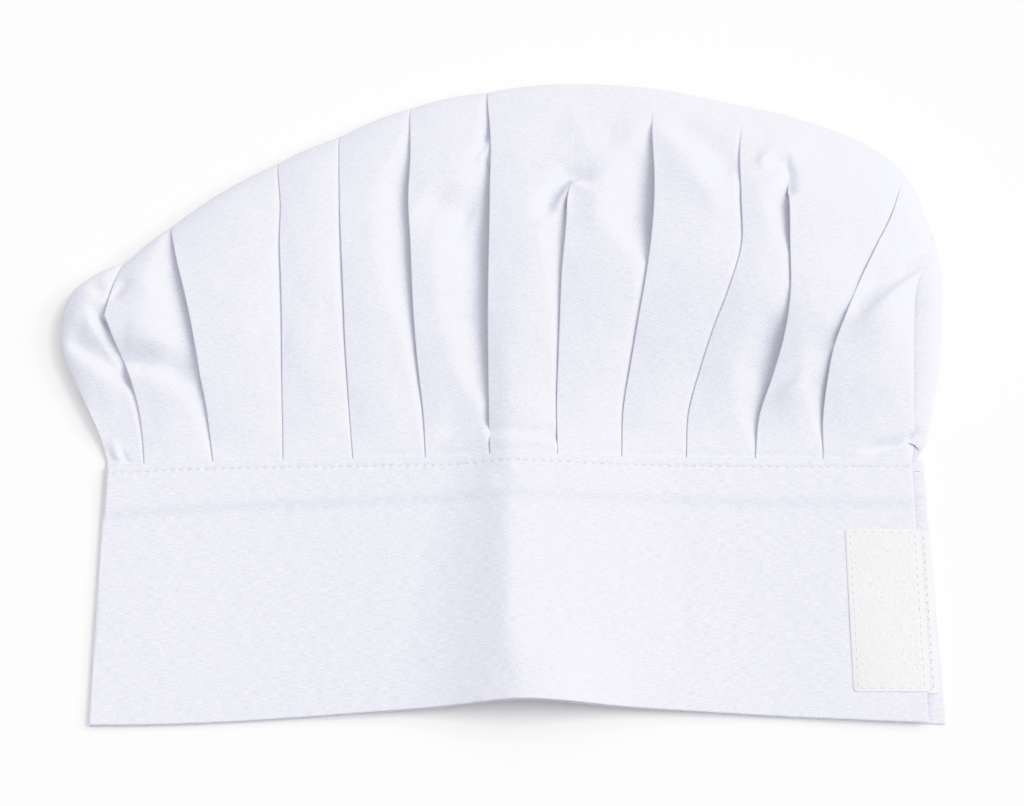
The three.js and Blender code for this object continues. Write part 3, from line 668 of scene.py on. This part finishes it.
def make_crown(material):
    sheet = Sheet()
    points, painted_shade = upper_sheet(crown_rows(*ROWS.upper))
    tucked = [points[0] - (0, back, 0) for back in TUCKED.upper]
    painted_shade = np.concatenate([painted_shade[:1]] * len(tucked) + [painted_shade])
    upper = sheet.add(np.concatenate([tucked, points]), None, painted_shade)
    sheet.grid(upper)
    points = lower_sheet(crown_rows(*ROWS.lower))
    row = points[0].copy()
    row[:, 1] -= TUCKED.lower
    row[:, 2] = np.maximum(row[:, 2], TUCKED.least_z)
    lower = sheet.add(np.concatenate([[row], points]))
    sheet.grid(lower, True)
    sheet.zip(upper[-1][:-len(HEM)], lower[-1])
    sheet.zip(lower[1:, 0], upper[2:, 0])
    return sheet.make("crown_cloth", [material])


# Headband

# The edge of the hem that is turned in at the seam: above it the band stands out by the hem's cloth
HEM_EDGE = [(-149.5, 80.5), (-142, 81), (-125, 82.6), (-108, 84), (-70, 85.4), (-10, 87), (60, 86.4),
            (132, 85.5), (150, 85)]
HEM_STEP = Sizes(height=0.75, slope=2.8)
# Painted shade of the hem's edge: how dark by the fold and in the middle, where it changes between
# them, how far below the edge and how wide
HEM_SHADE = Sizes(fold=0.04, middle=0.022, left=-90, right=0, below=0.5, width=2)
TOPSTITCH = Sizes(below=3.6, pitch=3.1, stitch=2.2, radius=0.17)
GROOVE = Sizes(depth=0.32, width=0.55)
PUCKER = Sizes(height=0.07, width=2.2)
LOWER_IN = 0.2

# A small dent under the seam, at the end of the crease
DENT = Sizes(x=-1, y=91, depth=0.6, across=3.5, along=5)

# How finely the band is divided: degrees at its rounded ends and edges, how many columns each part
# has, and its rows as (from, to, how many) in shares of the way from the mouth to the seam
BAND_ENDS = [0, 20, 40, 60, 90]
BAND_RIMS = [0, 22, 45, 67]
BAND_COLUMNS = Sizes(upper=330, fold=13, lower=150)
BAND_ROWS = Sizes(outer=(0.008, 0.9, 76), seam=(0.9, 0.993, 27), inner=(0.99, 0.01, 24))

# Relief fades towards the edges, and the cloth's own length is measured along one row
RELIEF_FADE = Sizes(mouth=0.02, seam=0.012)
MEASURED_ROW = 40


def hem_edge(x):
    return np.interp(x, *np.array(HEM_EDGE, float).T)


def band_relief(x, y, lower):
    """How far the band's outer face stands out for its seams, stitches and small creases."""
    edge = hem_edge(x)
    inside = HEM_STEP.height * ease(y, edge - HEM_STEP.slope, edge + HEM_STEP.slope)
    off = y - (seam_y(x) - TOPSTITCH.below)
    groove = GROOVE.depth * bell(off, GROOVE.width)
    pucker = PUCKER.height * np.sin(2 * math.pi * x / TOPSTITCH.pitch) * bell(off, PUCKER.width)
    uneven = unevenness(x, y, BAND_UNEVEN)
    if lower:
        return np.minimum(0, uneven - LOWER_IN) - groove
    across, along = (x - DENT.x) / DENT.across, (y - DENT.y) / DENT.along
    dent = DENT.depth * np.exp(-(across ** 2) - along ** 2)
    return inside - groove + pucker + uneven - dent


def hem_shadow(x, y):
    """Painted shade along the edge of the hem inside the band: a faint dark line, clearest by the
    fold.
    """
    dark = mix(HEM_SHADE.fold, HEM_SHADE.middle, ease(x, HEM_SHADE.left, HEM_SHADE.right))
    return dark * bell(y - hem_edge(x) + HEM_SHADE.below, HEM_SHADE.width)


def band_columns():
    """Columns round the strip: its part, x or the fold's angle, and the share of its thickness."""
    r = CLOTH / 2

    def rounded(part, x, angles):
        return [(part, x - r * (1 - math.cos(a)), math.sin(a)) for a in angles]

    ends = np.radians(BAND_ENDS)
    fold = FOLD_X + FOLD_RADIUS
    upper = np.linspace(UPPER_END_X - r, fold, BAND_COLUMNS.upper)
    turn = np.linspace(90, 270, BAND_COLUMNS.fold)
    lower = np.linspace(fold, LOWER_END_X.flat, BAND_COLUMNS.lower)
    columns = rounded("upper", UPPER_END_X, ends) + [("upper", x, 1) for x in upper[1:]]
    columns += [("fold", math.radians(a), 1) for a in turn[1:-1]]
    columns += [("lower", x, 1) for x in lower]
    return columns + rounded("lower", LOWER_END_X.seam, ends[::-1][1:])


def band_loop():
    """The section from the mouth over the outer face to the seam and back inside: t, dy, inset."""
    r = CLOTH / 2

    def rim(t, angles, side):
        way = -r if t else r
        return [(t, way * (1 - math.cos(a)), r * (1 - side * math.sin(a))) for a in angles]

    angles = np.radians(BAND_RIMS)
    outer = np.concatenate([np.linspace(*BAND_ROWS.outer), np.linspace(*BAND_ROWS.seam)[1:]])
    loop = rim(0, angles, 1) + [(t, 0, 0) for t in outer]
    loop += rim(1, angles[::-1], 1) + rim(1, angles[1:], -1)
    loop += [(t, 0, CLOTH) for t in np.linspace(*BAND_ROWS.inner)]
    return loop + rim(0, angles[::-1][:-1], -1)


def make_band(material):
    sheet = Sheet()
    t, dy, inset = (np.array(values) for values in zip(*band_loop()))
    r = CLOTH / 2
    outward = (np.clip((r - inset) / r, 0, 1) * ease(t, 0, RELIEF_FADE.mouth)
               * ease(1 - t, 0, RELIEF_FADE.seam))
    slant = (LOWER_END_X.mouth - LOWER_END_X.seam) * (1 - t)
    columns, cloth, painted_shade = [], [], []
    run = 0
    before = None
    for kind, at, thick in band_columns():
        depth = r + (inset - r) * thick
        if kind == "fold":
            x = FOLD_X + FOLD_RADIUS + (FOLD_RADIUS - depth) * math.cos(at)
            z = FOLD_RADIUS + (FOLD_RADIUS - depth) * math.sin(at)
            flat = FOLD_X
            y = mix(mouth_y(flat, 0), seam_y(flat), t) + dy
        else:
            flat = at
            lower = kind == "lower"
            if lower:
                flat = at + slant * ease(at, LOWER_END_X.slants_from, LOWER_END_X.seam)
            x = flat + 0 * t
            y = mix(mouth_y(x, lower), seam_y(x), t) + dy
            relief = band_relief(x, y, lower) * outward * thick
            z = band_bottom(x, t) + depth - relief if lower else band_top(x, t) - depth + relief
        point = np.column_stack([x, y, z])
        columns.append(point)
        if before is not None:
            run += float(np.linalg.norm(point[MEASURED_ROW] - before[MEASURED_ROW]))
        before = point
        cloth.append(np.column_stack([run + 0 * t, y, inset]))
        # Painted shade below the hem's edge
        painted_shade.append(hem_shadow(flat + 0 * t, y) * outward)
    index = sheet.add(np.stack(columns, 1), np.stack(cloth, 1), np.stack(painted_shade, 1))
    sheet.grid(np.concatenate([index, index[:1]], 0), True)
    sheet.face([index[:, 0].tolist(), index[::-1, -1].tolist()])
    return sheet.make("band_cloth", [material])


# Closure patches: fibres in the first material, tape in the second

TAPE_SLOT = 1
CORNER_STEPS = 5
FIBRE_RADIUS = 0.08

# Loops stand on the tape inside its selvages. Each is an arc of the size and lean that it draws.
PILE = Sizes(count=3600, side=3, end=1.6, size=(0.3, 0.6), lean=0.6, sides=4,
             steps=5, turn=1.25, starts=0.12, rise=0.17, sunk=0.04)

# Hooks stand in rows along the tape and bend to either side in turn, rising by these heights
HOOKS = Sizes(across=18, along=44, pitch=(1.3, 1.38), stray=0.12, bend=(0.25, 0.4),
              sides=3, rises=(0.4, 0.62, 0.45), sunk=0.05)


def rounded_outline(width, length, corner):
    outline = []
    for cx, cy, start in ((1, 1, 0), (-1, 1, 90), (-1, -1, 180), (1, -1, 270)):
        for k in range(CORNER_STEPS + 1):
            a = math.radians(start + 90 * k / CORNER_STEPS)
            outline.append((cx * (width / 2 - corner) + corner * math.cos(a),
                            cy * (length / 2 - corner) + corner * math.sin(a)))
    return np.array(outline)


def patch_middle(patch):
    """The middle of a patch in plan, and the height of its face."""
    return (patch.right_x - PATCH.width / 2, PATCH.low + PATCH.length / 2,
            patch.foot + PATCH.thick)


def add_tape(sheet, patch):
    """A thin tape with rounded edges."""
    x, y, high = patch_middle(patch)
    low = patch.foot - PATCH.sunk
    half = (high - low) / 2
    edge, rise = PATCH.edge, PATCH.edge_rise * half
    section = [(half, low), (edge, low + rise), (0, low + half), (edge, high - rise), (half, high)]
    rings = []
    for inset, z in section:
        corner = max(PATCH.least_corner, PATCH.corner - inset)
        ring = rounded_outline(PATCH.width - 2 * inset, PATCH.length - 2 * inset, corner)
        rings.append(np.column_stack([ring + (x, y), np.full(len(ring), z)]))
    index = sheet.add(np.stack(rings))
    sheet.grid(np.concatenate([index, index[:, :1]], 1), False, TAPE_SLOT)
    sheet.face([index[0][::-1].tolist(), index[-1].tolist()], TAPE_SLOT)


def make_loop_patch(pile, tape):
    sheet = Sheet()
    add_tape(sheet, LOOP)
    x0, y0, top = patch_middle(LOOP)
    half_x = PATCH.width / 2 - PILE.side
    half_y = PATCH.length / 2 - PILE.end
    for _ in range(PILE.count):
        x = x0 + random.uniform(-half_x, half_x)
        y = y0 + random.uniform(-half_y, half_y)
        turn = random.uniform(0, 2 * math.pi)
        size = random.uniform(*PILE.size)
        lean = random.uniform(-PILE.lean, PILE.lean)
        path = []
        for k in range(PILE.steps + 1):
            a = math.pi * (k / PILE.steps * PILE.turn - PILE.starts)
            across = size * math.cos(a)
            rise = PILE.rise * size * max(0, math.sin(a))
            path.append((x + across * math.cos(turn) + lean * rise * math.sin(turn),
                         y + across * math.sin(turn) - lean * rise * math.cos(turn),
                         top + rise - PILE.sunk))
        sheet.tube(path, FIBRE_RADIUS, PILE.sides)
    return sheet.make("loop_patch_pile", [pile, tape])


def make_hook_patch(hooks, tape):
    sheet = Sheet()
    add_tape(sheet, HOOK)
    x0, y0, top = patch_middle(HOOK)
    foot = top - HOOKS.sunk
    stem, bow, tip = HOOKS.rises
    stray = HOOKS.stray
    for i in range(HOOKS.across):
        for j in range(HOOKS.along):
            row, place = i - (HOOKS.across - 1) / 2, j - (HOOKS.along - 1) / 2
            x = x0 + row * HOOKS.pitch[0] + random.uniform(-stray, stray)
            y = y0 + place * HOOKS.pitch[1] + random.uniform(-stray, stray)
            bend = random.uniform(*HOOKS.bend) * (1 if j % 2 else -1)
            path = [(x, y, foot), (x, y, foot + stem), (x, y + bend / 2, foot + bow),
                    (x, y + bend, foot + tip)]
            sheet.tube(path, FIBRE_RADIUS, HOOKS.sides)
    return sheet.make("hook_patch_tape", [hooks, tape])


# Stitches: how high and how thick the thread is at even steps along one, and the shade painted on it,
# darkest at its ends where they dip into the cloth, and how strong that painted shade is on the band
# and on the patches

STITCH_RISE = np.array([-0.26, -0.06, 0.06, 0.1, 0.06, -0.06, -0.26])
STITCH_THICK = np.array([0.7, 0.95, 1, 1, 1, 0.95, 0.7])
END_SHADE = 1.15
STITCH_SHADE = Sizes(band=0.8, patch=0.2)

# Where the stitching runs: how far it stops from the fold and the ends, and from the patches' edges
RUN = Sizes(fold=2.2, end=1, points=200, tip=0.6, tip_points=5, tip_below=1)
PATCH_RUN = Sizes(side=2.0, end=1.4)

# The thread's height over the band's face, under its lower layer, at its tip and under the hooks
THREAD_Z = Sizes(over=0.02, under=0.3, tip=0.05, hook=0.12)


def stitch_run(sheet, points, height, down=False, shade_strength=STITCH_SHADE.band):
    """Stitches along a polyline: each is a short thread whose ends dip into the cloth, with painted
    shade that is darkest at its ends.
    """
    points = np.array(points, float)
    length = np.concatenate([[0], np.cumsum(np.linalg.norm(np.diff(points, axis=0), axis=1))])
    count = int(length[-1] // TOPSTITCH.pitch)
    along = np.linspace(-0.5, 0.5, len(STITCH_RISE)) * TOPSTITCH.stitch
    for n in range(count):
        s = (n + 0.5) * length[-1] / count + along
        x = np.interp(s, length, points[:, 0])
        y = np.interp(s, length, points[:, 1])
        z = height(x, y) + (-STITCH_RISE if down else STITCH_RISE)
        sheet.tube(np.column_stack([x, y, z]), TOPSTITCH.radius * STITCH_THICK,
                   painted_shade=(END_SHADE - STITCH_THICK) * shade_strength)


def band_height_at(x, y):
    low, high = mouth_y(x, 0), seam_y(x)
    return band_top(x, (y - low) / (high - low)) + band_relief(x, y, False)


def flat_at(z):
    return lambda x, y: z + 0 * x


def make_stitches(material):
    sheet = Sheet()
    below = TOPSTITCH.below
    for end, height, down in (
            (UPPER_END_X, lambda x, y: band_height_at(x, y) + THREAD_Z.over, False),
            (LOWER_END_X.seam, flat_at(THREAD_Z.under), True)):
        x = np.linspace(FOLD_X + RUN.fold, end - RUN.end, RUN.points)
        stitch_run(sheet, np.column_stack([x, seam_y(x) - below]), height, down)
    x = np.linspace(UPPER_END_X + RUN.tip, LOWER_END_X.seam - RUN.tip, RUN.tip_points)
    stitch_run(sheet, np.column_stack([x, seam_y(x) - below - RUN.tip_below]),
               flat_at(CLOTH + THREAD_Z.tip))
    w, h = PATCH.width / 2 - PATCH_RUN.side, PATCH.length / 2 - PATCH_RUN.end
    corners = [(-w, -h), (w, -h), (w, h), (-w, h), (-w, -h)]
    for patch in (LOOP, HOOK):
        x0, y0, top = patch_middle(patch)
        for (ax, ay), (bx, by) in zip(corners, corners[1:]):
            side = [(x0 + ax, y0 + ay), (x0 + bx, y0 + by)]
            stitch_run(sheet, side, flat_at(top), shade_strength=STITCH_SHADE.patch)
            if patch is HOOK:
                stitch_run(sheet, side, flat_at(THREAD_Z.hook), True)
    return sheet.make("topstitching", [material])


# Materials

COTTON = (0.757, 0.757, 0.85)
CLOTH_SHADER = {"roughness": 0.9, "sheen": 0.15}
TAPE_SHADER = Sizes(roughness=0.85, sheen=0.1)
SHEEN_ROUGHNESS = 0.5
SPECULAR = 0.2

# Weaves: how fast the threads vary in each direction, how far they are turned in degrees and their
# share of the height; and how much whiter than COTTON the cloth is. The twill's wave is added.
WEAVES = {
    "white_twill": {"threads": [((0.5, 3.4, 1), 52, 0.55), ((3.4, 0.7, 1), 0, 0.33)], "detail": 2,
                    "contrast": 0.26, "whiter": 1.015},
    "white_poplin": {"threads": [((0.3, 5.2, 1), 0, 0.6), ((5.2, 0.4, 1), 0, 0.4)], "detail": 1,
                     "contrast": 0.34, "whiter": 1},
}
TWILL = {"turn": 52, "scale": 0.3, "distortion": 1.5, "detail": 1.5}
TWILL_SHARE = 0.12
WEAVE_DEPTH = 0.06 * MM

# Fibres and tapes: colour, grain, its depth, and the colour's darkest and lightest share
FIBRES = {
    "white_thread": ((0.82, 0.82, 0.88), 3.0, 0.02, 0.97, 1.03),
    "loop_fibre": ((0.9, 0.9, 0.91), 2.0, 0.02, 0.97, 1.03),
    "tape_weave": ((0.83, 0.83, 0.85), 2.5, 0.03, 0.96, 1.02),
    "hook_nylon": ((0.8, 0.8, 0.83), 2.0, 0.02, 0.96, 1.02),
}
PILE_SHEEN = 0.3


class Shader:
    """One material: a base colour that a height pattern shades and roughens."""

    def __init__(self, name, color, roughness, sheen):
        self.material = bpy.data.materials.new(name)
        self.material.use_nodes = True
        self.nodes = self.material.node_tree.nodes
        self.links = self.material.node_tree.links
        self.shader = self.nodes["Principled BSDF"]
        self.color = color
        for key, value in (("Base Color", (*color, 1)), ("Roughness", roughness),
                           ("Sheen Weight", sheen), ("Sheen Roughness", SHEEN_ROUGHNESS),
                           ("Specular IOR Level", SPECULAR)):
            self.shader.inputs[key].default_value = value

    def node(self, kind, **values):
        """A node with inputs and settings by name. An output given as a value is linked."""
        node = self.nodes.new(kind)
        for key, value in values.items():
            if key not in node.inputs:
                setattr(node, key, value)
            else:
                self.feed(node.inputs[key], value)
        return node

    def feed(self, socket, value):
        if isinstance(value, bpy.types.NodeSocket):
            self.links.new(value, socket)
        else:
            socket.default_value = value

    def attribute(self, name):
        return self.node("ShaderNodeAttribute", attribute_name=name).outputs

    def cloth(self, scale, turn=0):
        """The place in the cloth in millimetres, turned about its normal and scaled."""
        return self.node("ShaderNodeMapping", Vector=self.attribute("cloth")["Vector"], Scale=scale,
                         Rotation=(0, 0, math.radians(turn))).outputs["Vector"]

    def noise(self, vector, scale, detail):
        noise = self.node("ShaderNodeTexNoise", Vector=vector, Scale=scale, Detail=detail)
        return noise.outputs["Fac"]

    def twill(self, turn, scale, distortion, detail):
        wave = self.node("ShaderNodeTexWave", Vector=self.cloth((1, 1, 1), turn), Scale=scale,
                         Distortion=distortion)
        wave.inputs["Detail Scale"].default_value = detail
        return wave.outputs["Fac"]

    def math(self, operation, a, b):
        node = self.node("ShaderNodeMath", operation=operation)
        self.feed(node.inputs[0], a)
        self.feed(node.inputs[1], b)
        return node.outputs[0]

    def blend(self, parts):
        """Outputs added up, each times its share."""
        scaled = [self.math("MULTIPLY", output, share) for output, share in parts]
        total = scaled.pop()
        while scaled:
            total = self.math("ADD", scaled.pop(), total)
        return total

    def shade(self, fac, low, high):
        """The base colour times a share between low and high, and darkened by the painted shade that
        the mesh's points carry.
        """
        span = self.node("ShaderNodeMapRange", Value=fac)
        span.inputs["To Min"].default_value = low
        span.inputs["To Max"].default_value = high
        unshaded_share = self.math("SUBTRACT", 1, self.attribute("painted_shade")["Fac"])
        share = self.math("MULTIPLY", span.outputs["Result"], unshaded_share)
        scaled = self.node("ShaderNodeVectorMath", operation="SCALE", Scale=share)
        scaled.inputs[0].default_value = self.color
        self.links.new(scaled.outputs["Vector"], self.shader.inputs["Base Color"])

    def bump(self, height, distance):
        bump = self.node("ShaderNodeBump", Height=height, Strength=1, Distance=distance)
        self.links.new(bump.outputs["Normal"], self.shader.inputs["Normal"])


def cotton_material(name):
    weave = WEAVES[name]
    s = Shader(name, [weave["whiter"] * c for c in COTTON], **CLOTH_SHADER)
    parts = [(s.noise(s.cloth(scale, turn), 1, weave["detail"]), share)
             for scale, turn, share in weave["threads"]]
    if name == "white_twill":
        parts.insert(0, (s.twill(**TWILL), TWILL_SHARE))
    height = s.blend(parts)
    s.bump(height, WEAVE_DEPTH)
    s.shade(height, 1 - weave["contrast"], 1 + weave["contrast"])
    return s.material


def fibre_material(name, sheen=TAPE_SHADER.sheen):
    color, grain, depth, low, high = FIBRES[name]
    s = Shader(name, color, TAPE_SHADER.roughness, sheen)
    fac = s.noise(s.cloth((1, 1, 1)), grain, 2)
    s.bump(fac, depth * MM)
    s.shade(fac, low, high)
    return s.material


# Light and floor

# The floor, in metres: half its side, and how far it lies under the hat
FLOOR = Sizes(half=3.0, under=0.0001, roughness=0.9)
PAPER = (0.93, 0.93, 0.93)

# Soft lights: energy, how wide each is in degrees, and the way towards it
LIGHTS = {"key": (1.6, 45, (0.745, 0.15, 0.65)), "top": (1.05, 110, (0, 0.05, 1))}
SKY = 0.475

# The photograph's soft shoulder: white cloth stays below the paper's white
TONE = [(0, 0), (0.9, 0.9), (1.0, 0.94), (1.08, 1.0)]
COMBINED_CURVE = 3


def make_stage():
    mesh = bpy.data.meshes.new("floor")
    half = FLOOR.half
    corners = [(-half, -half, 0), (half, -half, 0), (half, half, 0), (-half, half, 0)]
    mesh.from_pydata(corners, [], [(0, 1, 2, 3)])
    floor = add_object("floor", mesh)
    floor.location.z = -FLOOR.under
    s = Shader("floor_paper", PAPER, FLOOR.roughness, 0)
    s.shader.inputs["Specular IOR Level"].default_value = 0
    mesh.materials.append(s.material)


def make_light():
    world = bpy.data.worlds.new("world")
    bpy.context.scene.world = world
    world.use_nodes = True
    background = world.node_tree.nodes["Background"]
    background.inputs["Color"].default_value = (1, 1, 1, 1)
    background.inputs["Strength"].default_value = SKY
    for name, (energy, angle, toward) in LIGHTS.items():
        sun = bpy.data.lights.new(name, "SUN")
        sun.energy = energy
        sun.angle = math.radians(angle)
        lamp = add_object(name, sun)
        lamp.rotation_euler = Vector(toward).to_track_quat("Z", "Y").to_euler()
    settings = bpy.context.scene.view_settings
    settings.view_transform = "Standard"
    settings.look = "None"
    settings.exposure = 0
    settings.gamma = 1
    settings.use_curve_mapping = True
    tone = settings.curve_mapping
    tone.use_clip = False
    curve = tone.curves[COMBINED_CURVE]
    curve.points[1].location = TONE[-1]
    for x, y in TONE[1:-1]:
        curve.points.new(x, y)
    for point in curve.points:
        point.handle_type = "VECTOR"
    tone.update()


make_camera()
twill = cotton_material("white_twill")
poplin = cotton_material("white_poplin")
thread = fibre_material("white_thread")
pile = fibre_material("loop_fibre", PILE_SHEEN)
tape = fibre_material("tape_weave")
nylon = fibre_material("hook_nylon")

crown = make_crown(twill)
band = make_band(poplin)
loops = make_loop_patch(pile, tape)
hooks = make_hook_patch(nylon, tape)
stitches = make_stitches(thread)
for piece, slot in ((crown, "cotton"), (band, "cotton"), (loops, "loop_pile"), (hooks, "hook_tape"),
                    (stitches, "cotton")):
    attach(piece, "root")
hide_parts("crown")
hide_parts("band")
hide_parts("loop_patch")
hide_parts("hook_patch")

make_stage()
make_light()
